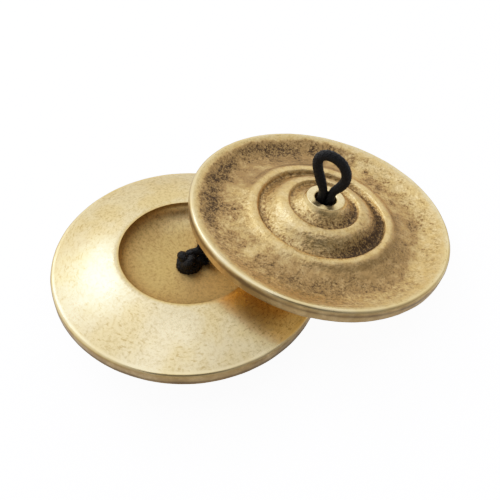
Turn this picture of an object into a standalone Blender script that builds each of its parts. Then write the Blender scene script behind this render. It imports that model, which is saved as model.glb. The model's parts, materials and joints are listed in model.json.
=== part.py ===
"""A pair of hand-cast brass finger cymbals with elastic finger loops, at rest on a table.

Units are metres and +Z is up. The table is at Z = 0 and the origin is under the middle of the pair.
Each cymbal has a frame of its own: its origin is the centre of the lip's plane, its local +Z points
out of the hub side, and its local +X runs from one leg of the cord to the other.
The lower cymbal lies with its striking face up. The upper one lies with its hub up and leans on it.
"""

import math

import bmesh
import bpy
from mathutils import Matrix, Vector

MM = 0.001

# Casting: radii from the axis and heights above the lip's plane.
RIM_RADIUS = 30.0 * MM
RIM_THICKNESS = 3.4 * MM
RIM_ROUNDING = 0.8 * MM
HOLE_RADIUS = 2.5 * MM
HOLE_ROUNDING = 0.35 * MM
LAND_RADIUS = 4.4 * MM
LAND_HEIGHT = 3.4 * MM
LAND_ROUNDING = 0.25 * MM
BOSS_FOOT_RADIUS = 5.0 * MM
BOSS_FALL = 1.1 * MM
INNER_RING_RADIUS = 8.4 * MM
INNER_RING_HEIGHT = 1.7 * MM
INNER_STEP = 0.8 * MM
INNER_STEP_WIDTH = 0.8 * MM
INNER_SHOULDER_WIDTH = 1.4 * MM
INNER_SHOULDER_FALL = 0.3 * MM
OUTER_RING_RADIUS = 15.9 * MM
OUTER_RING_HEIGHT = -0.35 * MM
OUTER_STEP = 1.15 * MM
OUTER_STEP_WIDTH = 1.8 * MM
CREST_WIDTH = 0.8 * MM
CREST_FALL = 0.1 * MM
OUTER_SKIRT_WIDTH = 2.6 * MM
OUTER_SKIRT_FALL = 1.1 * MM
TROUGH_RADIUS = 22.8 * MM
TROUGH_DEPTH = 2.1 * MM
CROWN_RADIUS = 15.9 * MM
CROWN_RISE = 3.2 * MM
BOWL_RADIUS = 15.1 * MM
BOWL_EDGE_DROP = 0.1 * MM
BOWL_FLOOR_HEIGHT = -1.2 * MM
BOWL_FULLNESS = 2.3
TURNED_STEPS = 54
CROWN_STEPS = 6
BOWL_STEPS = 8

# Elastic cord: a rubber core in a braided cover.
CORD_RADIUS = 1.1 * MM
CORE_RADIUS = 0.6 * MM
COVER_WALL = 0.3 * MM
COVER_BORE_RADIUS = CORD_RADIUS - COVER_WALL
LEG_OFFSET = 1.12 * MM
FLEX_HEIGHT = 1.2 * MM
CORD_SIDES = 10
LOOP_STEPS = 20
NOSE_STEPS = 3
KNOT_WIDTH = 5.8 * MM
KNOT_DEPTH = 5.4 * MM
KNOT_HEIGHT = 3.8 * MM
TAIL_LENGTH = 2.3 * MM
TAIL_TIP_RADIUS = 0.88 * MM
TAIL_DROP = 2.3 * MM
TAIL_AZIMUTHS = (85.0, 140.0)
GAP = 0.3 * MM
JOIN_GAP = 0.1 * MM

# The finger loop's extremes, measured from the flex point: how far to each side, and how high.
LOOP_TOP = (-2.2 * MM, 9.5 * MM)
LOOP_RIGHT = (2.85 * MM, 4.6 * MM)
LOOP_LEFT = (-4.1 * MM, 7.4 * MM)

# How the pair lies: each lip centre, and where and how far the axis through it leans.
LOWER_CENTRE = Vector((-15.1, -4.64, 5.74)) * MM
LOWER_LEAN = (58.7, 11.3)
LOWER_LEGS_AZIMUTH = 125.0
LOWER_LOOP_FOLD = 81.1
UPPER_CENTRE = Vector((15.79, 4.91, 12.72)) * MM
UPPER_LEAN = (43.2, 17.8)
UPPER_LEGS_AZIMUTH = -14.2
UPPER_LOOP_FOLD = 0.0


def clear_scene():
    for item in list(bpy.data.objects):
        bpy.data.objects.remove(item, do_unlink=True)


def material(name, colour, roughness, metallic):
    made = bpy.data.materials.new(name)
    made.use_nodes = True
    shader = made.node_tree.nodes["Principled BSDF"]
    shader.inputs["Base Color"].default_value = (*colour, 1.0)
    shader.inputs["Roughness"].default_value = roughness
    shader.inputs["Metallic"].default_value = metallic
    return made


def brass(name):
    return material(name, (0.60, 0.44, 0.20), 0.34, 1.0)


def braid(name):
    return material(name, (0.012, 0.011, 0.011), 0.85, 0.0)


def rubber(name):
    return material(name, (0.55, 0.50, 0.40), 0.70, 0.0)


def object_from(bm, name, finish, parent):
    """One named, smooth-shaded object made from the mesh and hung on its parent empty."""
    bmesh.ops.recalc_face_normals(bm, faces=bm.faces)
    mesh = bpy.data.meshes.new(name)
    bm.to_mesh(mesh)
    bm.free()
    mesh.shade_smooth()
    mesh.set_sharp_from_angle(angle=math.radians(40))
    mesh.materials.append(finish)
    made = bpy.data.objects.new(name, mesh)
    made.parent = parent
    bpy.context.scene.collection.objects.link(made)
    return made


def empty(name, matrix, parent=None):
    made = bpy.data.objects.new(name, None)
    made.empty_display_size = 5 * MM
    made.parent = parent
    made.matrix_local = matrix
    bpy.context.scene.collection.objects.link(made)
    return made


def arc(centre, radius, start, end, steps):
    """Points on an arc of the half-section, its angles in degrees from the outward direction."""
    angles = [math.radians(start + (end - start) * i / steps) for i in range(steps + 1)]
    return [(centre[0] + radius * math.cos(a), centre[1] + radius * math.sin(a)) for a in angles]


def curve_through(keys, radius):
    """Height at a radius on the smooth curve through the keys, level where the keys turn."""
    slopes = [(b[1] - a[1]) / (b[0] - a[0]) for a, b in zip(keys, keys[1:])]
    bends = [slopes[0]]
    for before, after in zip(slopes, slopes[1:]):
        bends.append(2 * before * after / (before + after) if before * after > 0 else 0.0)
    bends.append(slopes[-1])
    i = max(k for k in range(len(slopes)) if radius >= keys[k][0] or k == 0)
    width = keys[i + 1][0] - keys[i][0]
    t = (radius - keys[i][0]) / width
    return (
        keys[i][1] * (1 + 2 * t) * (1 - t) ** 2
        + bends[i] * width * t * (1 - t) ** 2
        + keys[i + 1][1] * t * t * (3 - 2 * t)
        + bends[i + 1] * width * t * t * (t - 1)
    )


def hub_side():
    """The hub side from the boss's foot to the lip: two ring crests, each with a step inside it."""
    keys = [
        (LAND_RADIUS, LAND_HEIGHT - LAND_ROUNDING),
        (BOSS_FOOT_RADIUS, LAND_HEIGHT - BOSS_FALL),
        (INNER_RING_RADIUS - INNER_STEP_WIDTH, INNER_RING_HEIGHT - INNER_STEP),
        (INNER_RING_RADIUS, INNER_RING_HEIGHT),
        (INNER_RING_RADIUS + INNER_SHOULDER_WIDTH, INNER_RING_HEIGHT - INNER_SHOULDER_FALL),
        (OUTER_RING_RADIUS - OUTER_STEP_WIDTH, OUTER_RING_HEIGHT - OUTER_STEP),
        (OUTER_RING_RADIUS - CREST_WIDTH, OUTER_RING_HEIGHT - CREST_FALL),
        (OUTER_RING_RADIUS, OUTER_RING_HEIGHT),
        (OUTER_RING_RADIUS + OUTER_SKIRT_WIDTH, OUTER_RING_HEIGHT - OUTER_SKIRT_FALL),
        (TROUGH_RADIUS, -TROUGH_DEPTH),
        (RIM_RADIUS - RIM_ROUNDING, 0.0),
    ]
    steps_between = [1, 2, 2, 1, 3, 2, 1, 2, 2, 3]
    points = []
    for start, end, count in zip(keys, keys[1:], steps_between):
        for i in range(count):
            radius = start[0] + (end[0] - start[0]) * i / count
            points.append((radius, curve_through(keys, radius)))
    return points


def crown_height(radius):
    """The striking face: it rises from the rim's edge, steeply at first, to a crest at the bowl."""
    span = (RIM_RADIUS - RIM_ROUNDING - radius) / (RIM_RADIUS - RIM_ROUNDING - CROWN_RADIUS)
    rise = 0.5 * span + 0.5 * math.sin(span * math.pi / 2)
    return -RIM_THICKNESS - CROWN_RISE * rise


def bowl_height(radius):
    """The hollow in the striking face, a full round bowl that ends in a sharp edge."""
    depth = BOWL_FLOOR_HEIGHT + RIM_THICKNESS + CROWN_RISE - BOWL_EDGE_DROP
    ratio = (radius / BOWL_RADIUS) ** BOWL_FULLNESS
    return BOWL_FLOOR_HEIGHT - depth * (1 - (1 - ratio) ** (1 / BOWL_FULLNESS))


def casting_section():
    """The closed half-section, from the mouth of the hole over the hub side and back by the bowl."""
    side = RIM_RADIUS - RIM_ROUNDING
    mouth = (HOLE_RADIUS + HOLE_ROUNDING, LAND_HEIGHT - HOLE_ROUNDING)
    points = arc(mouth, HOLE_ROUNDING, 180, 90, 2)
    points += arc((LAND_RADIUS - LAND_ROUNDING, LAND_HEIGHT - LAND_ROUNDING), LAND_ROUNDING, 90, 30, 2)
    points += hub_side()
    points += arc((side, -RIM_ROUNDING), RIM_ROUNDING, 90, 0, 3)
    points += arc((side, RIM_ROUNDING - RIM_THICKNESS), RIM_ROUNDING, 0, -90, 3)
    for i in range(1, CROWN_STEPS + 1):
        radius = side + (CROWN_RADIUS - side) * i / CROWN_STEPS
        points.append((radius, crown_height(radius)))
    for i in range(BOWL_STEPS):
        angle = math.pi / 2 * (1 - i / BOWL_STEPS)
        radius = BOWL_RADIUS * math.sin(angle)
        if radius > HOLE_RADIUS + HOLE_ROUNDING:
            points.append((radius, bowl_height(radius)))
    foot = (HOLE_RADIUS + HOLE_ROUNDING, BOWL_FLOOR_HEIGHT + HOLE_ROUNDING)
    return points + arc(foot, HOLE_ROUNDING, 270, 180, 2)


def casting(name, frame):
    bm = bmesh.new()
    verts = [bm.verts.new((radius, 0.0, height)) for radius, height in casting_section()]
    edges = [bm.edges.new((verts[i - 1], verts[i])) for i in range(len(verts))]
    bmesh.ops.spin(
        bm,
        geom=verts + edges,
        cent=(0, 0, 0),
        axis=(0, 0, 1),
        angle=2 * math.pi,
        steps=TURNED_STEPS,
        use_merge=True,
    )
    return object_from(bm, name, brass(name), frame)


def bezier_span(start, leave, arrive, end, count):
    """Points along one Bezier span, without its end."""
    points = []
    for i in range(count):
        t = i / count
        weights = ((1 - t) ** 3, 3 * t * (1 - t) ** 2, 3 * t * t * (1 - t), t**3)
        corners = (start, leave, arrive, end)
        points.append(tuple(sum(w * c[k] for w, c in zip(weights, corners)) for k in (0, 1)))
    return points


def beside(point, across, height):
    """The point moved by so many millimetres, as a Bezier handle."""
    return (point[0] + across * MM, point[1] + height * MM)


def loop_path():
    """The centre line of the finger loop, from the flex point of one leg round to the other's.

    It is a teardrop that leans to one side, drawn with Bezier spans in the plane of the two legs.
    """
    right_foot = (LEG_OFFSET, 0.0)
    left_foot = (-LEG_OFFSET, 0.0)
    spans = [
        (right_foot, beside(right_foot, 0.1, 1.6), beside(LOOP_RIGHT, 0.0, -2.0), LOOP_RIGHT),
        (LOOP_RIGHT, beside(LOOP_RIGHT, 0.0, 2.4), beside(LOOP_TOP, 2.7, 0.0), LOOP_TOP),
        (LOOP_TOP, beside(LOOP_TOP, -1.2, 0.0), beside(LOOP_LEFT, -0.15, 1.2), LOOP_LEFT),
        (LOOP_LEFT, beside(LOOP_LEFT, 0.3, -2.4), beside(left_foot, -0.3, 1.6), left_foot),
    ]
    path = []
    for span in spans:
        path += bezier_span(*span, LOOP_STEPS // len(spans))
    path.append(left_foot)
    return [Vector((x, 0.0, z)) for x, z in path]


def ring_at(bm, path, i, radius):
    """A ring of vertices round the path's point i, square to it. The path lies in the XZ plane."""
    ahead = path[min(i + 1, len(path) - 1)]
    behind = path[max(i - 1, 0)]
    along = (ahead - behind).normalized()
    if i in (0, len(path) - 1):
        along = Vector((0, 0, 1 if i == 0 else -1))
    across = Vector((0, 1, 0))
    out = along.cross(across)
    ring = []
    for k in range(CORD_SIDES):
        angle = 2 * math.pi * k / CORD_SIDES
        offset = across * math.cos(angle) + out * math.sin(angle)
        ring.append(bm.verts.new(path[i] + offset * radius))
    return ring


def bridge(bm, first, second):
    for k in range(CORD_SIDES):
        nxt = (k + 1) % CORD_SIDES
        bm.faces.new((first[k], first[nxt], second[nxt], second[k]))


def rounded_ends(path, radius, narrowest):
    """(path, radii) with each end drawn out into a round nose that stops at the narrowest radius."""
    last = math.acos(narrowest / radius)
    noses = [last * (NOSE_STEPS - i) / NOSE_STEPS for i in range(NOSE_STEPS)]
    head = [path[0] - Vector((0, 0, radius * math.sin(a))) for a in noses]
    tail = [path[-1] - Vector((0, 0, radius * math.sin(a))) for a in reversed(noses)]
    radii = [radius * math.cos(a) for a in noses]
    return head + path + tail, radii + [radius] * len(path) + radii[::-1]


def loop_cover(name, flex):
    """The braided cover of the loop, a tube with its bore open at both ends."""
    path, radii = rounded_ends(loop_path(), CORD_RADIUS, COVER_BORE_RADIUS + JOIN_GAP)
    bm = bmesh.new()
    outer = [ring_at(bm, path, i, radius) for i, radius in enumerate(radii)]
    bore = [ring_at(bm, path, i, COVER_BORE_RADIUS) for i in range(len(path))]
    for rings in (outer, bore):
        for first, second in zip(rings, rings[1:]):
            bridge(bm, first, second)
    bridge(bm, outer[0], bore[0])
    bridge(bm, outer[-1], bore[-1])
    return object_from(bm, name, braid(name), flex)


def loop_core(name, flex):
    """The rubber core of the loop, a solid cord that ends just inside the cover."""
    path = loop_path()
    bm = bmesh.new()
    rings = [ring_at(bm, path, i, CORE_RADIUS) for i in range(len(path))]
    for first, second in zip(rings, rings[1:]):
        bridge(bm, first, second)
    bm.faces.new(rings[0])
    bm.faces.new(rings[-1])
    return object_from(bm, name, rubber(name), flex)


def knot(name, frame):
    """The knot that bears on the bowl's floor, with the two legs that run from it up the hole."""
    bm = bmesh.new()
    bmesh.ops.create_icosphere(bm, subdivisions=3, radius=0.5)
    bmesh.ops.scale(bm, vec=(KNOT_WIDTH, KNOT_DEPTH, KNOT_HEIGHT), verts=bm.verts)
    centre = BOWL_FLOOR_HEIGHT - GAP - KNOT_HEIGHT / 2
    bmesh.ops.translate(bm, vec=(0, 0, centre), verts=bm.verts)
    body = object_from(bm, name, braid(name), frame)
    top = LAND_HEIGHT + FLEX_HEIGHT - CORD_RADIUS - JOIN_GAP
    for side in (-1, 1):
        bm = bmesh.new()
        bmesh.ops.create_cone(
            bm,
            cap_ends=True,
            segments=CORD_SIDES,
            radius1=CORD_RADIUS,
            radius2=CORD_RADIUS,
            depth=top - centre,
        )
        bmesh.ops.translate(bm, vec=(side * LEG_OFFSET, 0, (top + centre) / 2), verts=bm.verts)
        leg = object_from(bm, f"{name}_leg_shape_{side}", body.data.materials[0], frame)
        leg.hide_render = True
        leg.display_type = "WIRE"
        join = body.modifiers.new("leg", "BOOLEAN")
        join.operation = "UNION"
        join.object = leg
    return body


def cut_end(name, frame, azimuth):
    """One cut end of the cord, standing out from the knot, clear of it and of the bowl."""
    bm = bmesh.new()
    bmesh.ops.create_cone(
        bm,
        cap_ends=True,
        segments=CORD_SIDES,
        radius1=TAIL_TIP_RADIUS,
        radius2=CORD_RADIUS,
        depth=TAIL_LENGTH,
    )
    made = object_from(bm, name, braid(name), frame)
    turn = Matrix.Rotation(math.radians(azimuth), 4, "Z")
    lie_flat = Matrix.Rotation(math.radians(90), 4, "Y")
    reach = KNOT_WIDTH / 2 + GAP + TAIL_LENGTH / 2
    height = BOWL_FLOOR_HEIGHT - GAP - TAIL_DROP
    made.matrix_local = turn @ Matrix.Translation((reach, 0, height)) @ lie_flat
    return made


def cymbal_frame(name, centre, lean, legs_azimuth, hub_up):
    """The empty at a cymbal's lip centre, its Z out of the hub side and its X along the legs."""
    azimuth, angle = (math.radians(value) for value in lean)
    sideways = Vector((math.cos(azimuth), math.sin(azimuth), 0.0)) * math.sin(angle)
    upward = sideways + Vector((0.0, 0.0, math.cos(angle)))
    z_axis = upward if hub_up else -upward
    legs = math.radians(legs_azimuth)
    x_axis = Vector((math.cos(legs), math.sin(legs), 0.0))
    x_axis = (x_axis - z_axis * x_axis.dot(z_axis)).normalized()
    rotation = Matrix((x_axis, z_axis.cross(x_axis), z_axis)).transposed()
    return empty(name, Matrix.Translation(centre) @ rotation.to_4x4())


def cymbal(prefix, centre, lean, legs_azimuth, hub_up, loop_fold):
    """One cymbal with its cord: the casting, the knot, the two cut ends and the folded loop."""
    frame = cymbal_frame(f"{prefix}_frame", centre, lean, legs_azimuth, hub_up)
    flex_matrix = Matrix.Translation((0, 0, LAND_HEIGHT + FLEX_HEIGHT))
    flex_matrix @= Matrix.Rotation(math.radians(loop_fold), 4, "X")
    flex = empty(f"{prefix}_flex", flex_matrix, frame)
    casting(f"{prefix}_cymbal", frame)
    knot(f"{prefix}_cord_knot", frame)
    for letter, azimuth in zip("ab", TAIL_AZIMUTHS):
        cut_end(f"{prefix}_cord_end_{letter}", frame, azimuth)
    loop_cover(f"{prefix}_finger_loop", flex)
    loop_core(f"{prefix}_loop_core", flex)


clear_scene()
cymbal("lower", LOWER_CENTRE, LOWER_LEAN, LOWER_LEGS_AZIMUTH, False, LOWER_LOOP_FOLD)
cymbal("upper", UPPER_CENTRE, UPPER_LEAN, UPPER_LEGS_AZIMUTH, True, UPPER_LOOP_FOLD)
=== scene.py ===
"""The looks of a pair of cast brass finger cymbals with black elastic finger loops.

Every piece is modelled in its cymbal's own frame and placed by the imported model's joints: local +Z runs
out of the hub side along the cord's swivel axis, and local +X runs along the loop's fold axis.
Lengths are in metres.
"""

import json
import math

import bpy
import numpy as np
from mathutils import Matrix, Vector


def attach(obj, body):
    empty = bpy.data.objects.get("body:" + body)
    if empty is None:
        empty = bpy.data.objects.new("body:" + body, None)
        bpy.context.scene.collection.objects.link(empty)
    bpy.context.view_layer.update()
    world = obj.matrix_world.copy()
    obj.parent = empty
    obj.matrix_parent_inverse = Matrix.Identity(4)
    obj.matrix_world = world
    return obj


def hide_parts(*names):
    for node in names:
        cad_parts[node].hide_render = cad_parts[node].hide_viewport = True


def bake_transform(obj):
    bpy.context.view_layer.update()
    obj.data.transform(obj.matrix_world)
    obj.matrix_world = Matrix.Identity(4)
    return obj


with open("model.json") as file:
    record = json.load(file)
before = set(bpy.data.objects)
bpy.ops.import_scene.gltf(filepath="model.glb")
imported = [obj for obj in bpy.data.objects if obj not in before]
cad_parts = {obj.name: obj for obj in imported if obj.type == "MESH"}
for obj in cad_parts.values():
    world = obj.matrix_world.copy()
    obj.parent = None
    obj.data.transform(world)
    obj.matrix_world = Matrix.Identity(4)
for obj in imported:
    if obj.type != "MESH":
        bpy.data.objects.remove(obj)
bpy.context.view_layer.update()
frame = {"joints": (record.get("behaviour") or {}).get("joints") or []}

MM = 0.001
UP = (0.0, 0.0, 1.0)
KEY_DIRECTION = (126.0, 42.0)

# Casting, as radii from its axis and heights above the lip's plane.
RIM_RADIUS = 30.0 * MM
RIM_THICKNESS = 3.4 * MM
RIM_ROUNDING = 0.8 * MM
HOLE_RADIUS = 2.5 * MM
HOLE_ROUNDING = 0.35 * MM
LAND_RADIUS = 4.4 * MM
LAND_HEIGHT = 3.4 * MM
LAND_ROUNDING = 0.25 * MM
BOSS_FOOT_RADIUS = 5.0 * MM
BOSS_FALL = 1.1 * MM
INNER_RING_RADIUS = 8.4 * MM
INNER_RING_HEIGHT = 1.7 * MM
INNER_STEP = 0.8 * MM
INNER_STEP_WIDTH = 0.8 * MM
INNER_SHOULDER_WIDTH = 1.4 * MM
INNER_SHOULDER_FALL = 0.3 * MM
OUTER_RING_RADIUS = 15.9 * MM
OUTER_RING_HEIGHT = -0.35 * MM
OUTER_STEP = 1.15 * MM
OUTER_STEP_WIDTH = 1.8 * MM
CREST_WIDTH = 0.8 * MM
CREST_FALL = 0.1 * MM
OUTER_SKIRT_WIDTH = 2.6 * MM
OUTER_SKIRT_FALL = 1.1 * MM
TROUGH_RADIUS = 22.8 * MM
TROUGH_DEPTH = 2.1 * MM
CROWN_RADIUS = 15.9 * MM
CROWN_RISE = 3.2 * MM
BOWL_RADIUS = 15.1 * MM
BOWL_EDGE_DROP = 0.1 * MM
BOWL_FLOOR_HEIGHT = -1.2 * MM
BOWL_FULLNESS = 2.3
TURNED_STEPS = 600

# Cord.
CORD_RADIUS = 1.1 * MM
LEG_OFFSET = 1.12 * MM
LEG_IN_KNOT = 1.2 * MM
SQUEEZE = 0.86
RUBBER_SHARE = 0.55
BEND_REACH = 1.2 * MM
KNOT_MIDDLE = BOWL_FLOOR_HEIGHT - 2.1 * MM
KNOT_OPENING = 0.50
KNOT_SPREAD = 0.58 * MM
KNOT_DEPTH = 0.66 * MM
KNOT_CORD_RADIUS = 1.02 * MM
TAIL_CORD_RADIUS = 0.95 * MM
KNOT_SEAT_RADIUS = 2.8 * MM
KNOT_SEAT_HEIGHT = BOWL_FLOOR_HEIGHT - 0.4 * MM
KNOT_SEAT_DEPTH = 1.7 * MM
TAILS_AZIMUTH = 100.0
LOOP_TOP = (-2.2, 9.5)
LOOP_RIGHT = (2.85, 4.6)
LOOP_LEFT = (-4.1, 7.4)


# ---------------------------------------------------------------- frame and mesh helpers


def joint(name):
    return next(j for j in frame["joints"] if j["name"] == name)


def cymbal_place(which):
    """(matrix of the cymbal's own frame, height of the cord's flex point in it, the loop's fold at rest)."""
    swivel = joint(f"{which}_cord_swivel")
    fold = joint(f"{which}_loop_fold")
    z_axis = Vector(swivel["axis"]).normalized()
    x_axis = Vector(fold["axis"]).normalized()
    centre = Vector(swivel["pos_m"])
    rotation = Matrix((x_axis, z_axis.cross(x_axis), z_axis)).transposed()
    flex_height = (Vector(fold["pos_m"]) - centre).dot(z_axis)
    rest_fold = -math.radians(sum(fold["range_deg"]) / 2)
    return Matrix.Translation(centre) @ rotation.to_4x4(), flex_height, rest_fold


def mesh_object(name, points, faces, material, matrix):
    """A mesh placed by the matrix. The materials find each point's own place in its "place" attribute."""
    points = np.asarray(points, float)
    turn = np.array(matrix.to_3x3())
    mesh = bpy.data.meshes.new(name)
    mesh.from_pydata((points @ turn.T + matrix.translation).tolist(), [], np.asarray(faces).tolist())
    mesh.shade_smooth()
    mesh.materials.append(material)
    mesh.attributes.new("place", "FLOAT_VECTOR", "POINT").data.foreach_set("vector", points.ravel())
    made = bpy.data.objects.new(name, mesh)
    bpy.context.scene.collection.objects.link(made)
    return made


def grid_faces(rows, columns, wrap_rows=False):
    """Quads of a grid whose columns go all the way round, numbered row by row."""
    last = rows if wrap_rows else rows - 1
    i, k = np.meshgrid(np.arange(last), np.arange(columns), indexing="ij")
    i_next = (i + 1) % rows
    k_next = (k + 1) % columns
    corners = (i * columns + k, i * columns + k_next, i_next * columns + k_next, i_next * columns + k)
    return np.stack([c.ravel() for c in corners], axis=1)


def set_attribute(mesh, name, values):
    attribute = mesh.attributes.new(name, "FLOAT", "POINT")
    attribute.data.foreach_set("value", np.asarray(values, np.float32))


def smoothstep(low, high, x):
    t = np.clip((np.asarray(x, float) - low) / (high - low), 0, 1)
    return t * t * (3 - 2 * t)


def hump(x, middle, width):
    """1 at the middle, fading to nothing about two widths away."""
    return np.exp(-(((x - middle) / width) ** 2))


def towards(angle, degrees):
    """1 where the angle round the axis is this many degrees, and 0 on the opposite side."""
    return 0.5 + 0.5 * np.cos(angle - math.radians(degrees))


def lattice(cell, seed):
    """A fixed pseudo-random number from -1 to 1 for each whole-numbered cell."""
    mask = 0xFFFFFFFF
    mixed = cell[:, 0] * 374761393 + cell[:, 1] * 668265263 + cell[:, 2] * 2246822519 + seed * 3266489917
    h = mixed & mask
    h = ((h ^ (h >> 13)) * 1274126177) & mask
    h = ((h ^ (h >> 16)) * 668265263) & mask
    return (h ^ (h >> 15)) / (mask / 2) - 1


def noise(points, size, seed):
    """Smooth noise from -1 to 1 whose bumps are about one size across."""
    p = np.asarray(points) / size
    base = np.floor(p).astype(np.int64)
    t = p - base
    t = t * t * (3 - 2 * t)
    total = 0
    for dx in (0, 1):
        for dy in (0, 1):
            for dz in (0, 1):
                weight = np.ones(len(p))
                for axis, step in enumerate((dx, dy, dz)):
                    weight *= t[:, axis] if step else 1 - t[:, axis]
                total = total + weight * lattice(base + (dx, dy, dz), seed)
    return total


def rough_noise(points, size, seed, octaves=4):
    total = 0
    for i in range(octaves):
        total = total + noise(points, size / 2**i, seed + i) / 2**i
    return total


# ---------------------------------------------------------------- castings


def hub_keys():
    return [
        (LAND_RADIUS, LAND_HEIGHT - LAND_ROUNDING),
        (BOSS_FOOT_RADIUS, LAND_HEIGHT - BOSS_FALL),
        (INNER_RING_RADIUS - INNER_STEP_WIDTH, INNER_RING_HEIGHT - INNER_STEP),
        (INNER_RING_RADIUS, INNER_RING_HEIGHT),
        (INNER_RING_RADIUS + INNER_SHOULDER_WIDTH, INNER_RING_HEIGHT - INNER_SHOULDER_FALL),
        (OUTER_RING_RADIUS - OUTER_STEP_WIDTH, OUTER_RING_HEIGHT - OUTER_STEP),
        (OUTER_RING_RADIUS - CREST_WIDTH, OUTER_RING_HEIGHT - CREST_FALL),
        (OUTER_RING_RADIUS, OUTER_RING_HEIGHT),
        (OUTER_RING_RADIUS + OUTER_SKIRT_WIDTH, OUTER_RING_HEIGHT - OUTER_SKIRT_FALL),
        (TROUGH_RADIUS, -TROUGH_DEPTH),
        (RIM_RADIUS - RIM_ROUNDING, 0.0),
    ]


def curve_through(keys, radius):
    """Heights on the smooth curve through the keys, level where the keys turn."""
    keys = np.array(keys)
    width = np.diff(keys[:, 0])
    slopes = np.diff(keys[:, 1]) / width
    before, after = slopes[:-1], slopes[1:]
    same_way = before * after > 0
    middle = np.where(same_way, 2 * before * after / np.where(same_way, before + after, 1), 0)
    bends = np.concatenate([slopes[:1], middle, slopes[-1:]])
    i = np.clip(np.searchsorted(keys[:, 0], radius, side="right") - 1, 0, len(slopes) - 1)
    t = (radius - keys[i, 0]) / width[i]
    return (
        keys[i, 1] * (1 + 2 * t) * (1 - t) ** 2
        + bends[i] * width[i] * t * (1 - t) ** 2
        + keys[i + 1, 1] * t * t * (3 - 2 * t)
        + bends[i + 1] * width[i] * t * t * (t - 1)
    )


def arc(centre, radius, start, end, count):
    angles = np.radians(np.linspace(start, end, count))
    return np.stack([centre[0] + radius * np.cos(angles), centre[1] + radius * np.sin(angles)], axis=1)


def crown_height(radius):
    side = RIM_RADIUS - RIM_ROUNDING
    span = (side - radius) / (side - CROWN_RADIUS)
    return -RIM_THICKNESS - CROWN_RISE * (0.5 * span + 0.5 * np.sin(span * math.pi / 2))


def bowl_height(radius):
    depth = BOWL_FLOOR_HEIGHT + RIM_THICKNESS + CROWN_RISE - BOWL_EDGE_DROP
    ratio = (radius / BOWL_RADIUS) ** BOWL_FULLNESS
    return BOWL_FLOOR_HEIGHT - depth * (1 - (1 - ratio) ** (1 / BOWL_FULLNESS))


HUB_SIDE, RIM, CROWN, BOWL, HOLE = range(5)

# Bands of the hub side, each as its middle radius and half-width; the lip slope, far slope and the hollow
# between the rings carry painted shade, and the trough carries stain and painted shade.
TROUGH_BAND = (21.5 * MM, 2.6 * MM)
SKIRT = (17.3 * MM, 1.6 * MM)
LIP_SLOPE = (25.6 * MM, 2.2 * MM)
FAR_SLOPE = (25.0 * MM, 2.6 * MM)
RING_BASIN = (12.3 * MM, 2.2 * MM)


def casting_section():
    """(points, part) of the closed half-section, where part names the region that each point is in."""
    side = RIM_RADIUS - RIM_ROUNDING
    mouth = HOLE_RADIUS + HOLE_ROUNDING
    land = np.linspace(mouth, LAND_RADIUS - LAND_ROUNDING, 5)[1:-1]
    land_edge = (LAND_RADIUS - LAND_ROUNDING, LAND_HEIGHT - LAND_ROUNDING)
    hub_radii = np.linspace(LAND_RADIUS, side, 132)[:-1]
    rim_side = np.linspace(-RIM_ROUNDING, RIM_ROUNDING - RIM_THICKNESS, 5)[1:-1]
    crown_radii = np.linspace(side, CROWN_RADIUS, 36)[1:]
    bowl_radii = BOWL_RADIUS * np.sin(np.linspace(math.pi / 2, math.asin(mouth / BOWL_RADIUS), 40))
    wall = np.linspace(BOWL_FLOOR_HEIGHT + HOLE_ROUNDING, LAND_HEIGHT - HOLE_ROUNDING, 7)[1:-1]
    pieces = [
        (arc((mouth, LAND_HEIGHT - HOLE_ROUNDING), HOLE_ROUNDING, 180, 90, 5), HUB_SIDE),
        (np.stack([land, np.full(3, LAND_HEIGHT)], 1), HUB_SIDE),
        (arc(land_edge, LAND_ROUNDING, 90, 20, 4), HUB_SIDE),
        (np.stack([hub_radii, curve_through(hub_keys(), hub_radii)], 1), HUB_SIDE),
        (arc((side, -RIM_ROUNDING), RIM_ROUNDING, 90, 0, 8), RIM),
        (np.stack([np.full(3, RIM_RADIUS), rim_side], 1), RIM),
        (arc((side, RIM_ROUNDING - RIM_THICKNESS), RIM_ROUNDING, 0, -90, 8), RIM),
        (np.stack([crown_radii, crown_height(crown_radii)], 1), CROWN),
        (np.stack([bowl_radii, bowl_height(bowl_radii)], 1), BOWL),
        (arc((mouth, BOWL_FLOOR_HEIGHT + HOLE_ROUNDING), HOLE_ROUNDING, 270, 180, 5), HOLE),
        (np.stack([np.full(5, HOLE_RADIUS), wall], 1), HOLE),
    ]
    points = np.concatenate([p for p, _ in pieces])
    part = np.concatenate([np.full(len(p), which) for p, which in pieces])
    return points, part


def section_normals(points):
    """Outward normals of the closed half-section, which runs clockwise seen with +Z up."""
    along = np.roll(points, -1, axis=0) - np.roll(points, 1, axis=0)
    normals = np.stack([-along[:, 1], along[:, 0]], axis=1)
    return normals / np.linalg.norm(normals, axis=1, keepdims=True)


def recess_of(points, part, reach=1.6 * MM):
    """How far each hub-side point lies below the surface's mean within the reach, in millimetres."""
    hub = np.where(part == HUB_SIDE)[0]
    recess = np.zeros(len(points))
    radius = points[hub, 0]
    height = points[hub, 1]
    for i, r in zip(hub, radius):
        weight = hump(radius, r, reach)
        recess[i] = (np.sum(weight * height) / np.sum(weight) - points[i, 1]) / MM
    return recess


def casting_regions(radius, which):
    """How far each point belongs to the hub side, the crowned face, the bowl and the rim, from 0 to 1."""
    return {
        "hub": (which == HUB_SIDE) * smoothstep(4.5 * MM, 5.4 * MM, radius),
        "land": (which == HUB_SIDE) * smoothstep(5.2 * MM, 4.4 * MM, radius),
        "face": (which == CROWN) * 1.0,
        "bowl": (which == BOWL) * smoothstep(BOWL_RADIUS, BOWL_RADIUS - 0.6 * MM, radius),
        "rim": (which == RIM) * 1.0,
    }


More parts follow.
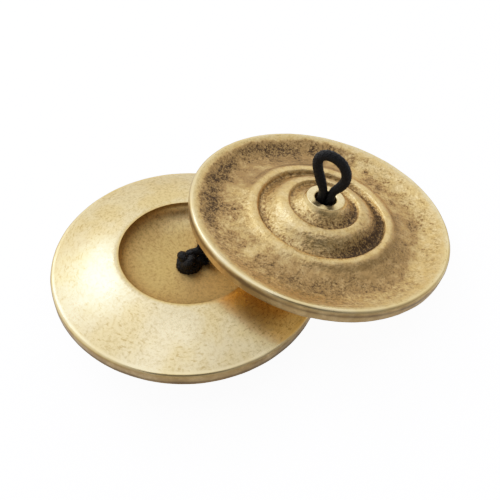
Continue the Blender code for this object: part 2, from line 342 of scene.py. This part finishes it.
def between_hole_and_rim(radius):
    """1 over the middle of the disc, fading to 0 at the land and at the lip, which stay true circles."""
    return smoothstep(28.5 * MM, 24 * MM, radius) * smoothstep(4.6 * MM, 8 * MM, radius)


def casting_relief(points, radius, area, seed):
    """How far the surface stands proud at each point: slow waves, sand grain, cast pits and filing."""
    off_lip = smoothstep(29.0 * MM, 26.0 * MM, radius)
    trough = hump(radius, *TROUGH_BAND)
    skirt = hump(radius, *SKIRT)
    waves = rough_noise(points, 9 * MM, seed + 10, 2)
    grain = rough_noise(points, 1.3 * MM, seed + 20, 2)
    pits = smoothstep(0.40, 0.95, noise(points, 0.9 * MM, seed + 30))
    filing = rough_noise(points, 2.2 * MM, seed + 40, 2)
    dents = rough_noise(points, 3.0 * MM, seed + 50, 3)
    lumps = rough_noise(points, 1.9 * MM, seed + 90, 2)
    lift = 0.06 * MM * waves * (area["hub"] + 0.55 * area["face"] + 0.3 * area["bowl"])
    lift *= between_hole_and_rim(radius)
    lift += 0.055 * MM * grain * area["hub"] * off_lip * (0.7 + trough)
    lift += 0.012 * MM * filing * (area["face"] + area["bowl"])
    lift -= 0.09 * MM * pits * area["hub"] * off_lip * smoothstep(-0.4, 0.6, waves)
    lift += 0.03 * MM * dents * area["rim"]
    lift += 0.025 * MM * noise(points, 1.5 * MM, seed + 80) * area["land"]
    lift += 0.045 * MM * lumps * area["hub"] * skirt
    return lift, pits


def casting_patina_and_shade(points, radius, height, angle, upright, recess, pits, area, seed, shade_azimuth):
    """Two amounts: dark speckled patina in the hollows, pits and trough, with painted shade added toward one
    side, on slopes that reflect dim surroundings and along the rim's side and under its lip; and a thinner
    brown veil that is painted shade alone, over the far side of the dish and the trough nearest the camera.
    """
    hub = area["hub"]
    deep = smoothstep(0.0, 0.5, recess) * hub
    crest = smoothstep(0.02, 0.22, -recess) * hub
    trough = hump(radius, *TROUGH_BAND) * hub
    # Painted shade: 1 on the side turned from the light and 0 opposite; it deepens the grooves beyond their
    # patina.
    on_shaded_side = towards(angle, shade_azimuth)
    # Painted shade on the trough's side nearest the camera, where the surface faces the camera and reflects
    # the dim camera side.
    near_side_shade = towards(angle, shade_azimuth - 50)
    # Painted shade on the far side of the dish, whose slopes reflect dim surroundings.
    far = towards(angle, shade_azimuth + 150)
    # Painted shade on the lip's inner slope opposite the shaded side, where it reflects the dim low horizon.
    lip_slope_shade = hump(radius, *LIP_SLOPE) * hub * smoothstep(0.60, 0.10, on_shaded_side)
    far_slope_shade = hump(radius, *FAR_SLOPE) * hub * smoothstep(0.45, 0.85, far)
    # Painted shade in the hollow between the rings, on the side turned from the light.
    basin_shade = hump(radius, *RING_BASIN) * hub * smoothstep(0.72, 0.98, on_shaded_side)
    # Painted shade: a dark line just under the lip's rounding, where the curved edge reflects dim
    # surroundings.
    painted_shade_under_lip = hump(height, -1.1 * MM, 0.45 * MM)
    clouds = rough_noise(points, 6 * MM, seed + 60, 3)
    flecks = rough_noise(points, 1.8 * MM, seed + 70, 3)

    # Patina in the hollows, pits and trough, with the painted shade marks above added in.
    tarnish_and_shade = hub * (0.13 + 0.10 * clouds + 0.12 * flecks) + deep * (0.34 + 0.42 * on_shaded_side**4) + basin_shade * 0.50
    tarnish_and_shade += trough * (0.05 + 0.18 * clouds + 0.16 * flecks + 0.14 * near_side_shade**2) + lip_slope_shade * 0.30
    tarnish_and_shade += pits * hub * 0.20 - crest * 0.25 + far_slope_shade * (0.26 + 0.2 * flecks)
    tarnish_and_shade *= smoothstep(29.1 * MM, 27.6 * MM, radius)
    tarnish_and_shade += area["bowl"] * (0.08 + 0.05 * clouds + 0.05 * smoothstep(11 * MM, 14.5 * MM, radius))
    tarnish_and_shade += area["face"] * (0.05 + 0.05 * clouds)
    # Patina on the rim's upright side, with painted shade added there for the dim floor that side reflects.
    tarnish_and_shade += area["rim"] * upright * (0.70 + 0.15 * clouds + 0.30 * painted_shade_under_lip)

    # A brown veil of painted shade alone, over the far side of the dish and the trough nearest the camera.
    dish = hub * smoothstep(28.5 * MM, 26.5 * MM, radius) * smoothstep(15.5 * MM, 17.5 * MM, radius)
    near_trough_shade = near_side_shade**2 * smoothstep(25.0 * MM, 22.0 * MM, radius)
    painted_shade = dish * (0.75 * smoothstep(0.70, 0.95, far) + 0.80 * near_trough_shade)
    return np.clip(tarnish_and_shade, 0, 1), np.clip(painted_shade * (1 + 0.5 * clouds), 0, 1)


def casting(name, matrix, material, seed, shade_azimuth):
    """The whole casting at full detail, with the small unevenness of a hand-finished sand casting."""
    section, part = casting_section()
    normals = section_normals(section)
    count = len(section)
    radius, height, which, recess, normal_out, normal_up = (
        np.repeat(v, TURNED_STEPS)
        for v in (*section.T, part, recess_of(section, part), *normals.T)
    )
    angle = np.tile(np.linspace(0, 2 * math.pi, TURNED_STEPS, endpoint=False), count)
    ring = np.stack([np.cos(angle), np.sin(angle), np.zeros(len(angle))], axis=1)
    normal = ring * normal_out[:, None] + np.outer(normal_up, UP)

    on_rings = np.stack([np.cos(angle) * 6 * MM, np.sin(angle) * 6 * MM, radius], axis=1)
    wander = 0.22 * MM * rough_noise(on_rings, 6 * MM, seed, 2) * between_hole_and_rim(radius)
    wander = wander * (which == HUB_SIDE)
    points = ring * (radius + wander)[:, None] + np.outer(height, UP)

    area = casting_regions(radius, which)
    lift, pits = casting_relief(points, radius, area, seed)
    points = points + normal * lift[:, None]
    upright = smoothstep(0.85, 0.35, np.abs(normal_up))
    tarnish_and_shade, painted_shade = casting_patina_and_shade(
        points, radius, height, angle, upright, recess, pits, area, seed, shade_azimuth
    )

    faces = grid_faces(count, TURNED_STEPS, wrap_rows=True)[:, ::-1]
    made = mesh_object(name, points, faces, material, matrix)
    made.data.set_sharp_from_angle(angle=math.radians(45))
    aged = smoothstep(4.2 * MM, 5.2 * MM, radius) * smoothstep(29.2 * MM, 28.0 * MM, radius)
    # Painted light: one side of the bowl's wall, where it catches the light, is kept paler and smoother than
    # the rest of the bowl.
    bowl_lit_side = smoothstep(0.55, 0.95, np.cos(angle - math.radians(shade_azimuth + 45)))
    painted_light_wall = smoothstep(8.0 * MM, 13.0 * MM, radius) * bowl_lit_side
    set_attribute(made.data, "tarnish_and_shade", tarnish_and_shade)
    set_attribute(made.data, "painted_shade", painted_shade)
    set_attribute(made.data, "hub_side", (which == HUB_SIDE) * aged)
    set_attribute(made.data, "rim", area["rim"])
    # The bowl mask, lessened where the painted light falls on its wall.
    set_attribute(made.data, "bowl", (which == BOWL) * (1 - 0.5 * painted_light_wall))
    return made


# ---------------------------------------------------------------- materials


class Nodes:
    """A short way to write a node tree."""

    def __init__(self, tree, shader):
        self.tree = tree
        self.shader = tree.nodes[shader]

    def add(self, kind, inputs=None, **settings):
        node = self.tree.nodes.new(kind)
        for key, value in settings.items():
            setattr(node, key, value)
        for key, value in (inputs or {}).items():
            self.put(node, key, value)
        return node

    def put(self, node, key, value):
        if isinstance(value, bpy.types.NodeSocket):
            self.tree.links.new(value, node.inputs[key])
        else:
            node.inputs[key].default_value = value

    def attribute(self, name):
        return self.add("ShaderNodeAttribute", attribute_name=name).outputs["Fac"]

    def position(self):
        return self.add("ShaderNodeAttribute", attribute_name="place").outputs["Vector"]

    def seen_by_camera(self):
        return self.add("ShaderNodeLightPath").outputs["Is Camera Ray"]

    def noise(self, scale, detail=4.0, roughness=0.55, vector=None):
        inputs = {"Scale": scale, "Detail": detail, "Roughness": roughness}
        inputs["Vector"] = vector or self.position()
        return self.add("ShaderNodeTexNoise", inputs).outputs["Fac"]

    def ramp(self, value, low, high, start=0.0, end=1.0):
        """From start, at or below low, smoothly to end, at or above high."""
        inputs = {"Value": value, "From Min": low, "From Max": high, "To Min": start, "To Max": end}
        node = self.add("ShaderNodeMapRange", inputs, interpolation_type="SMOOTHSTEP")
        return node.outputs["Result"]

    def math(self, operation, a, b=0.0, clamp=False):
        node = self.add("ShaderNodeMath", operation=operation, use_clamp=clamp)
        self.put(node, 0, a)
        self.put(node, 1, b)
        return node.outputs["Value"]

    def times(self, a, b):
        return self.math("MULTIPLY", a, b)

    def plus(self, a, b):
        return self.math("ADD", a, b)

    def mix(self, share, a, b):
        node = self.add("ShaderNodeMix", data_type="RGBA")
        self.put(node, 0, share)
        for key, value in ((6, a), (7, b)):
            self.put(node, key, value if isinstance(value, bpy.types.NodeSocket) else (*value, 1.0))
        return node.outputs[2]

    def bump(self, height, distance, strength=1.0, normal=None):
        inputs = {"Height": height, "Distance": distance, "Strength": strength}
        if normal is not None:
            inputs["Normal"] = normal
        return self.add("ShaderNodeBump", inputs).outputs["Normal"]


def surface(name, build):
    """A Principled material whose inputs, by name, are what the build function returns."""
    material = bpy.data.materials.new(name)
    material.use_nodes = True
    n = Nodes(material.node_tree, "Principled BSDF")
    for key, value in build(n).items():
        n.put(n.shader, key, value)
    return material


PALE_BRASS = (0.93, 0.73, 0.39)
GOLDEN_BRASS = (0.88, 0.65, 0.30)
AGED_BRASS = (0.86, 0.60, 0.275)
DEEP_BRASS = (0.78, 0.51, 0.20)
BOWL_BRASS = (0.66, 0.44, 0.155)
# Brown of real stain, also used for painted shade.
BROWN_STAIN_AND_SHADE = (0.36, 0.215, 0.075)
UMBER = (0.08, 0.045, 0.02)


def antique_brass(n):
    """Cast brass, bright where rubbed and browned by patina where it lies deep, with the casting's painted
    shade darkened into it in brown and umber, and a painted-light part of the bowl's wall left paler.
    """
    tarnish_and_shade = n.attribute("tarnish_and_shade")
    hub = n.attribute("hub_side")
    bowl = n.attribute("bowl")
    rim = n.attribute("rim")
    broad = n.noise(110.0, 3.0)
    blotch = n.noise(480.0, 5.0, 0.6)
    grain = n.noise(1400.0, 4.0, 0.62)
    dust = n.noise(2700.0, 3.0, 0.62)

    clean = n.mix(n.ramp(broad, 0.38, 0.64), PALE_BRASS, GOLDEN_BRASS)
    aged = n.mix(n.ramp(blotch, 0.35, 0.66), AGED_BRASS, DEEP_BRASS)
    colour = n.mix(hub, clean, aged)
    colour = n.mix(n.times(bowl, 0.9), colour, BOWL_BRASS)
    # Real stain plus painted shade, laid on as a brown veil.
    stain_and_shade = n.plus(tarnish_and_shade, n.attribute("painted_shade"))
    veil = n.times(n.ramp(stain_and_shade, 0.0, 0.85), n.ramp(blotch, 0.25, 0.62, 0.60, 1.0))
    colour = n.mix(n.times(veil, 0.9), colour, BROWN_STAIN_AND_SHADE)

    smooth_rim = n.math("SUBTRACT", 1.0, n.times(rim, 0.85))
    # Speckle follows handling and stain, and also the painted shade.
    handling_and_shade = n.plus(n.plus(0.16, n.times(bowl, 0.02)), n.plus(n.times(hub, 0.08), tarnish_and_shade))
    wear_and_shade = n.times(handling_and_shade, smooth_rim)
    mottle = n.times(n.ramp(n.plus(grain, n.times(wear_and_shade, 0.12)), 0.46, 0.68), n.times(wear_and_shade, 1.6))
    colour = n.mix(n.math("MULTIPLY", mottle, 0.85, clamp=True), colour, BROWN_STAIN_AND_SHADE)
    fine = n.times(n.ramp(n.plus(dust, n.times(wear_and_shade, 0.14)), 0.54, 0.74), n.times(wear_and_shade, 1.2))
    colour = n.mix(n.math("MULTIPLY", fine, 0.8, clamp=True), colour, UMBER)
    specks = n.times(n.ramp(n.plus(grain, n.times(wear_and_shade, 0.18)), 0.68, 0.80), n.plus(0.25, wear_and_shade))
    colour = n.mix(n.math("MULTIPLY", n.times(specks, smooth_rim), 0.9, clamp=True), colour, UMBER)

    scratches = n.noise(1.0, 2.0, 0.5, vector=ring_coordinates(n, 2600.0, 22.0))
    dashes = n.times(n.ramp(scratches, 0.56, 0.70), n.ramp(broad, 0.30, 0.60, 0.25, 1.0))
    bare = n.math("SUBTRACT", 0.60, n.times(n.math("MAXIMUM", hub, rim), 0.50))
    colour = n.mix(n.times(dashes, bare), colour, BROWN_STAIN_AND_SHADE)
    # Painted shade: the darkest parts of the rim, its side wall and the line under the lip, darkened further
    # towards umber.
    painted_shade_under_lip = n.times(n.ramp(tarnish_and_shade, 0.72, 1.0), rim)
    colour = n.mix(n.times(painted_shade_under_lip, 0.65), colour, UMBER)

    roughness = n.plus(0.23, n.times(broad, 0.10))
    for amount, share in ((hub, 0.01), (bowl, 0.22), (tarnish_and_shade, 0.15)):
        roughness = n.plus(roughness, n.times(amount, share))
    roughness = n.math("ADD", roughness, n.times(specks, 0.20), clamp=True)
    metallic = n.math("SUBTRACT", 1.0, n.times(n.math("MAXIMUM", specks, veil), 0.25))

    rings = n.noise(1.0, 3.0, 0.6, vector=ring_coordinates(n, 9000.0, 3.0))
    grain_strength = n.plus(n.plus(0.05, n.times(hub, 0.70)), n.times(bowl, 0.08))
    normal = n.bump(grain, 0.22 * MM, grain_strength)
    normal = n.bump(dust, 0.07 * MM, n.plus(0.15, n.times(hub, 0.50)), normal)
    normal = n.bump(rings, 0.03 * MM, 0.20, normal)
    return {"Base Color": colour, "Roughness": roughness, "Metallic": metallic, "Normal": normal}


def ring_coordinates(n, across, along):
    """Coordinates that run fast along the radius and slowly round the axis, for turned scratches."""
    split = n.add("ShaderNodeSeparateXYZ", {"Vector": n.position()})
    x, y = split.outputs["X"], split.outputs["Y"]
    radius = n.math("SQRT", n.math("ADD", n.math("MULTIPLY", x, x), n.math("MULTIPLY", y, y)))
    angle = n.math("ARCTAN2", y, x)
    made = n.add("ShaderNodeCombineXYZ")
    n.put(made, "X", n.math("MULTIPLY", radius, across))
    n.put(made, "Y", n.math("MULTIPLY", n.math("SINE", angle), along))
    n.put(made, "Z", n.math("MULTIPLY", n.math("COSINE", angle), along))
    return made.outputs["Vector"]


def black_braid(n):
    """Black polyester yarn: matt, with fine fibres and a faint sheen."""
    fibres = n.noise(6500.0, 3.0, 0.7)
    colour = n.mix(n.ramp(fibres, 0.40, 0.75), (0.0012, 0.0011, 0.0012), (0.010, 0.009, 0.0095))
    return {
        "Base Color": colour,
        "Roughness": 0.48,
        "Sheen Weight": 0.015,
        "Specular IOR Level": 0.26,
        "Normal": n.bump(fibres, 0.05 * MM, 0.8),
    }


def natural_rubber(n):
    """Pale latex, faintly mottled."""
    tone = n.noise(800.0, 4.0)
    colour = n.mix(tone, (0.42, 0.37, 0.28), (0.60, 0.55, 0.44))
    return {"Base Color": colour, "Roughness": 0.65, "Normal": n.bump(tone, 0.05 * MM, 0.5)}


def lit_table(n):
    """A plain white table top, softly lit from within and brighter to the camera than in reflections."""
    tone = n.noise(40.0, 2.0)
    colour = n.mix(tone, (0.47, 0.47, 0.48), (0.49, 0.49, 0.50))
    glow = (0.985, 0.99, 1.0, 1.0)
    strength = n.ramp(n.seen_by_camera(), 0.0, 1.0, 0.36, 1.58)
    return {"Base Color": colour, "Roughness": 0.9, "Emission Color": glow, "Emission Strength": strength}


# ---------------------------------------------------------------- cords


def bezier(spans, per_span):
    """Points along joined Bezier spans, each span given by its four control points."""
    t = np.linspace(0, 1, per_span, endpoint=False)[:, None]
    runs = []
    for a, b, c, d in (np.array(span, float) for span in spans):
        runs.append(a * (1 - t) ** 3 + 3 * b * t * (1 - t) ** 2 + 3 * c * t * t * (1 - t) + d * t**3)
    runs.append(np.array(spans[-1][-1], float)[None])
    return np.concatenate(runs)


def beside(point, across, height):
    return (point[0] + across, point[1] + height)


def loop_outline():
    """The loop's centre line in the plane of its legs, as millimetres across and beyond the flex point."""
    base = LEG_OFFSET * SQUEEZE / MM
    right_foot, left_foot = (base, 0.0), (-base, 0.0)
    spans = [
        (right_foot, beside(right_foot, 0.1, 1.6), beside(LOOP_RIGHT, 0.0, -2.0), LOOP_RIGHT),
        (LOOP_RIGHT, beside(LOOP_RIGHT, 0.0, 2.4), beside(LOOP_TOP, 2.7, 0.0), LOOP_TOP),
        (LOOP_TOP, beside(LOOP_TOP, -1.2, 0.0), beside(LOOP_LEFT, -0.15, 1.2), LOOP_LEFT),
        (LOOP_LEFT, beside(LOOP_LEFT, 0.3, -2.4), beside(left_foot, -0.3, 1.6), left_foot),
    ]
    return bezier(spans, 60) * MM


def folded(across, beyond, flex_height, fold):
    """Points of the legs' plane, bent about the flex point by the fold along a small arc."""
    if abs(fold) < 1e-6:
        return np.stack([across, np.zeros(len(across)), flex_height + beyond], axis=1)
    bend_radius = BEND_REACH / math.tan(fold / 2)
    turned = np.clip((beyond + BEND_REACH) / (2 * BEND_REACH), 0, 1) * fold
    y = -bend_radius * (1 - np.cos(turned))
    z = -BEND_REACH + bend_radius * np.sin(turned)
    before = np.minimum(beyond + BEND_REACH, 0)
    after = np.maximum(beyond - BEND_REACH, 0)
    y = y - after * math.sin(fold)
    z = z + before + after * math.cos(fold)
    return np.stack([across, y, flex_height + z], axis=1)


def even_path(points, step):
    """The same path, with points one step apart along it."""
    length = np.concatenate([[0], np.cumsum(np.linalg.norm(np.diff(points, axis=0), axis=1))])
    wanted = np.linspace(0, length[-1], max(2, int(length[-1] / step)))
    return np.stack([np.interp(wanted, length, points[:, k]) for k in range(3)], axis=1)


def path_frames(path):
    """(tangents, sides, ups) along the path, turned as little as possible from point to point."""
    tangents = np.gradient(path, axis=0)
    tangents /= np.linalg.norm(tangents, axis=1, keepdims=True)
    side = np.cross(tangents[0], (0.31, 0.95, 0.11))
    sides = []
    for tangent in tangents:
        side = side - tangent * (side @ tangent)
        side = side / np.linalg.norm(side)
        sides.append(side)
    sides = np.array(sides)
    return tangents, sides, np.cross(tangents, sides)


def capped_faces(rows, columns):
    """Quads of a closed tube of so many rings, each with an even number of points."""
    last = (rows - 1) * columns
    caps = []
    for k in range(columns // 2 - 1):
        quad = np.array((k, k + 1, columns - 2 - k, columns - 1 - k))
        caps += [quad[::-1], quad + last]
    return np.concatenate([grid_faces(rows, columns)[:, ::-1], np.array(caps)])


def tube(path, radii, columns):
    """(points, faces) of a plain tube with closed ends."""
    _, sides, ups = path_frames(path)
    angle = np.linspace(0, 2 * math.pi, columns, endpoint=False)
    around = sides[:, None] * np.cos(angle)[None, :, None] + ups[:, None] * np.sin(angle)[None, :, None]
    points = path[:, None] + around * np.broadcast_to(radii, len(path))[:, None, None]
    return points.reshape(-1, 3), capped_faces(len(path), columns)[:, ::-1]


STRANDS = 10
STRAND_COLUMNS = 6
STRAND_THICKNESS = 0.16
BRAID_STEP = 0.13 * MM
BRAID_PITCH = 5.0 * MM


def braided_cover(path, radii):
    """(points, faces) of a tubular braid: strands wound both ways that pass over and under each other."""
    _, sides, ups = path_frames(path)
    radii = np.broadcast_to(radii, len(path))
    s = np.concatenate([[0], np.cumsum(np.linalg.norm(np.diff(path, axis=0), axis=1))])
    angle = np.linspace(0, 2 * math.pi, STRAND_COLUMNS, endpoint=False)
    parts = []
    for way in (1, -1):
        for k in range(STRANDS):
            turn = way * 2 * math.pi * s / BRAID_PITCH + 2 * math.pi * k / STRANDS
            crossing = 2 * STRANDS * s / BRAID_PITCH + way * k + (0 if way > 0 else 1)
            rise = 0.5 * way * np.cos(math.pi * crossing)
            out = sides * np.cos(turn)[:, None] + ups * np.sin(turn)[:, None]
            centre = path + out * (radii * (1 + STRAND_THICKNESS * (rise - 1)))[:, None]
            along = np.gradient(centre, axis=0)
            along /= np.linalg.norm(along, axis=1, keepdims=True)
            across = np.cross(along, out)
            half_width = 0.9 * math.pi * radii / STRANDS
            ring = (
                centre[:, None]
                + across[:, None] * (half_width[:, None] * np.cos(angle))[:, :, None]
                + out[:, None] * (STRAND_THICKNESS * radii[:, None] * np.sin(angle))[:, :, None]
            )
            parts.append((ring.reshape(-1, 3), capped_faces(len(path), STRAND_COLUMNS)))
    return joined(*parts)


def joined(*parts):
    points, faces, used = [], [], 0
    for p, f in parts:
        points.append(p)
        faces.append(f + used)
        used += len(p)
    return np.concatenate(points), np.concatenate(faces)


def cord(path, radii):
    """(points, faces) of braided cord: the braid over a plain dark inner tube."""
    inner = 1 - 1.5 * STRAND_THICKNESS
    return joined(braided_cover(path, radii), tube(path, inner * np.broadcast_to(radii, len(path)), 16))


def loop_path(flex_height, fold):
    """The cord's centre line from inside the knot, up one leg, round the loop and down the other leg."""
    steps = 60
    leg_foot = BOWL_FLOOR_HEIGHT - LEG_IN_KNOT - flex_height
    leg = np.linspace(leg_foot, 0, steps, endpoint=False)
    offset = LEG_OFFSET * SQUEEZE
    up = np.stack([np.full(steps, offset), leg], axis=1)
    down = np.stack([np.full(steps, -offset), leg[::-1]], axis=1)
    flat = np.concatenate([up, loop_outline(), down])
    return even_path(folded(flat[:, 0], flat[:, 1], flex_height, fold), BRAID_STEP)


def knot_path():
    """The centre line of the overhand knot, from one cut tail to the other."""
    t = np.linspace(math.pi + KNOT_OPENING, 3 * math.pi - KNOT_OPENING, 300)
    x = -(np.sin(t) + 2 * np.sin(2 * t)) * KNOT_SPREAD
    y = -(np.cos(t) - 2 * np.cos(2 * t)) * KNOT_SPREAD
    z = KNOT_MIDDLE - np.sin(3 * t) * KNOT_DEPTH
    turn = math.radians(TAILS_AZIMUTH - 90)
    turned_x = x * math.cos(turn) - y * math.sin(turn)
    turned_y = x * math.sin(turn) + y * math.cos(turn)
    return even_path(np.stack([turned_x, turned_y, z], axis=1), BRAID_STEP)


def finger_loop(which, matrix, flex_height, fold, black, pale):
    """The braided cover and the rubber core, each one piece from the knot round the loop and back."""
    path = loop_path(flex_height, fold)
    from_flex = np.linalg.norm(path - (0, 0, flex_height), axis=1)
    upright_leg = (path[:, 2] < flex_height) & (fold == 0)
    fullness = SQUEEZE + (1 - SQUEEZE) * smoothstep(1 * MM, 4 * MM, from_flex)
    radii = CORD_RADIUS * np.where(upright_leg, SQUEEZE, fullness)
    cover = mesh_object(f"{which}_loop_braid", *cord(path, radii), black, matrix)
    core = mesh_object(f"{which}_loop_rubber", *tube(path, RUBBER_SHARE * CORD_RADIUS, 12), pale, matrix)
    for piece, node, slot in ((cover, "finger_loop", "braided_cover"), (core, "loop_core", "rubber_core")):
        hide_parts(f"{which}_{node}")
        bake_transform(piece)


def knot(which, matrix, black):
    """The overhand knot, tight round a filled middle, and its two frayed ends."""
    path = knot_path()
    seat = even_path(np.outer((-0.96, 0.96), (0, 0, KNOT_SEAT_DEPTH)) + (0, 0, KNOT_SEAT_HEIGHT), BRAID_STEP)
    along = (seat[:, 2] - KNOT_SEAT_HEIGHT) / KNOT_SEAT_DEPTH
    filling = cord(seat, KNOT_SEAT_RADIUS * np.sqrt(1 - along**2))
    tied = mesh_object(f"{which}_knot", *joined(cord(path, KNOT_CORD_RADIUS), filling), black, matrix)
    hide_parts(f"{which}_cord_knot")
    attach(tied, f"{which}_cord")
    for letter, end, inner in (("a", path[-1], path[-6]), ("b", path[0], path[5])):
        rng = np.random.default_rng(ord(letter) + len(which))
        fray = mesh_object(f"{which}_frayed_end_{letter}", *frayed_end(end, end - inner, rng), black, matrix)
        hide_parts(f"{which}_cord_end_{letter}")
        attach(fray, f"{which}_cord")


# Loose ends: their number, then in millimetres their radius at the root and tip, and shortest and longest.
YARNS = (90, 0.14, 0.05, 0.8, 1.8)
FIBRES = (240, 0.05, 0.02, 1.1, 2.6)


def frayed_end(start, along, rng):
    """(points, faces) of a cut end: a short stub that opens into loose, curling yarns and fibres."""
    along = along / np.linalg.norm(along)
    azimuth = math.radians(TAILS_AZIMUTH)
    outward = np.array([math.cos(azimuth), math.sin(azimuth), 0.0])
    heading = along * 0.25 + outward
    heading /= np.linalg.norm(heading)
    t = np.linspace(0, 1, 14)[:, None]
    stub = start + along * 0.9 * MM * t * (1 - 0.5 * t) + heading * 1.5 * MM * t**2
    parts = [cord(stub, TAIL_CORD_RADIUS)]
    side = np.cross(heading, UP)
    side /= np.linalg.norm(side)
    above = np.cross(side, heading)
    for count, thick, thin, shortest, longest in (YARNS, FIBRES):
        for _ in range(count):
            place = rng.uniform(0, 2 * math.pi)
            around = side * math.cos(place) + above * math.sin(place)
            root = stub[-1] - heading * 0.5 * MM + around * rng.uniform(0.1, 0.9) * MM
            way = heading + around * rng.uniform(0.1, 1.1) + rng.normal(0, 0.25, 3)
            way /= np.linalg.norm(way)
            length = rng.uniform(shortest, longest) * MM
            curl = rng.normal(0, 0.35, 3)
            u = np.linspace(0, 1, 7)[:, None]
            fibre = root + (way * u + curl * u**2) * length
            parts.append(tube(fibre, np.linspace(thick, thin, 7) * MM, 4))
    return joined(*parts)


# ---------------------------------------------------------------- stage


def table():
    half = 1.5
    corners = [(-half, -half, 0), (half, -half, 0), (half, half, 0), (-half, half, 0)]
    white = surface("table_white", lit_table)
    made = mesh_object("table", corners, [(0, 1, 2, 3)], white, Matrix.Identity(4))
    made.location.z = -0.02 * MM


def direction(azimuth, elevation):
    """A unit vector from a compass angle from +X and a height above the horizon, in degrees."""
    az, el = math.radians(azimuth), math.radians(elevation)
    return Vector((math.cos(el) * math.cos(az), math.cos(el) * math.sin(az), math.sin(el)))


def soft_light(name, way, distance, size, power):
    """A square soft light that stands that way from the camera's target and faces it."""
    data = bpy.data.lights.new(name, "AREA")
    data.size = size
    data.energy = power
    lamp = bpy.data.objects.new(name, data)
    lamp.location = CAMERA_TARGET + way * distance
    lamp.rotation_euler = way.to_track_quat("Z", "Y").to_euler()
    bpy.context.scene.collection.objects.link(lamp)


WARM_HORIZON = (1.0, 0.95, 0.85)
COOL_ZENITH = (0.96, 1.0, 1.10)


def surroundings():
    """A pale studio, bright beyond the object and dim behind the camera, which itself sees only white."""
    world = bpy.data.worlds.new("studio")
    world.use_nodes = True
    bpy.context.scene.world = world
    n = Nodes(world.node_tree, "Background")
    looking = n.add("ShaderNodeTexCoord").outputs["Generated"]

    def facing(way):
        node = n.add("ShaderNodeVectorMath", {0: looking, 1: way}, operation="DOT_PRODUCT")
        return node.outputs["Value"]

    broad_light = n.ramp(facing(direction(118.0, 20.0)), -0.60, 0.85, 0.24, 1.15)
    window = n.ramp(facing(direction(*KEY_DIRECTION)), 0.93, 1.0, 0.0, 1.00)
    overhead = n.ramp(facing(direction(119.0, 80.0)), 0.95, 1.0, 0.0, 0.85)
    high_window = n.ramp(facing(direction(71.0, 28.0)), 0.98, 1.0, 0.0, 0.40)
    front = n.ramp(facing(direction(-90.0, 6.0)), 0.60, 1.0, 0.0, 0.34)
    camera_side = n.ramp(facing(direction(-88.0, 57.0)), 0.82, 0.96, 1.0, 0.15)
    lit = n.plus(n.plus(window, overhead), n.plus(n.plus(broad_light, high_window), front))
    backdrop = n.ramp(n.seen_by_camera(), 0.0, 1.0, 0.0, 2.4)
    n.put(n.shader, "Strength", n.plus(n.times(lit, camera_side), backdrop))
    height = n.add("ShaderNodeSeparateXYZ", {"Vector": looking}).outputs["Z"]
    n.put(n.shader, "Color", n.mix(n.ramp(height, 0.05, 0.95), WARM_HORIZON, COOL_ZENITH))


CAMERA_TARGET = Vector((-1.13, 3.17, 0.0)) * MM
CAMERA_ELEVATION = 57.18
CAMERA_AZIMUTH = -1.86
CAMERA_ROLL = -4.71
CAMERA_DISTANCE = 143.9 * MM
LENS_PER_SENSOR = 1.186


def camera():
    """The close view from above and in front."""
    azimuth, roll = math.radians(CAMERA_AZIMUTH), math.radians(CAMERA_ROLL)
    ahead = -direction(-90 - CAMERA_AZIMUTH, CAMERA_ELEVATION)
    right = Vector((math.cos(azimuth), -math.sin(azimuth), 0.0))
    up = right.cross(ahead)
    rolled_right = right * math.cos(roll) + up * math.sin(roll)
    rolled_up = up * math.cos(roll) - right * math.sin(roll)
    data = bpy.data.cameras.new("camera")
    data.sensor_width = 36.0
    data.lens = LENS_PER_SENSOR * data.sensor_width
    data.clip_start = 10 * MM
    made = bpy.data.objects.new("camera", data)
    rotation = Matrix((rolled_right, rolled_up, -ahead)).transposed().to_4x4()
    made.matrix_world = Matrix.Translation(CAMERA_TARGET - ahead * CAMERA_DISTANCE) @ rotation
    bpy.context.scene.collection.objects.link(made)
    bpy.context.scene.camera = made


def build_object():
    cast = surface("cast_brass", antique_brass)
    black = surface("black_braid", black_braid)
    pale = surface("natural_rubber", natural_rubber)
    for which, seed, shade_azimuth in (("lower", 3, 0.0), ("upper", 57, -15.0)):
        matrix, flex_height, fold = cymbal_place(which)
        disc = casting(f"{which}_casting", matrix, cast, seed, shade_azimuth)
        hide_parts(f"{which}_cymbal")
        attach(disc, f"{which}_casting")
        finger_loop(which, matrix, flex_height, fold, black, pale)
        knot(which, matrix, black)


WHITE_LEVEL = 2.0


def film_response():
    """A camera-like tone curve: straight in the shadows, with a shoulder that lets highlights go white."""
    view = bpy.context.scene.view_settings
    view.view_transform = "Standard"
    view.use_curve_mapping = True
    mapping = view.curve_mapping
    mapping.white_level = (WHITE_LEVEL, WHITE_LEVEL, WHITE_LEVEL)
    for level, shown in ((0.25, 0.25), (0.5, 0.47), (1.0, 0.76), (1.5, 0.93)):
        mapping.curves[3].points.new(level / WHITE_LEVEL, shown)
    mapping.update()


def build_stage():
    film_response()
    table()
    surroundings()
    camera()
    soft_light("key", direction(*KEY_DIRECTION), distance=0.5, size=0.13, power=0.26)


build_object()
build_stage()
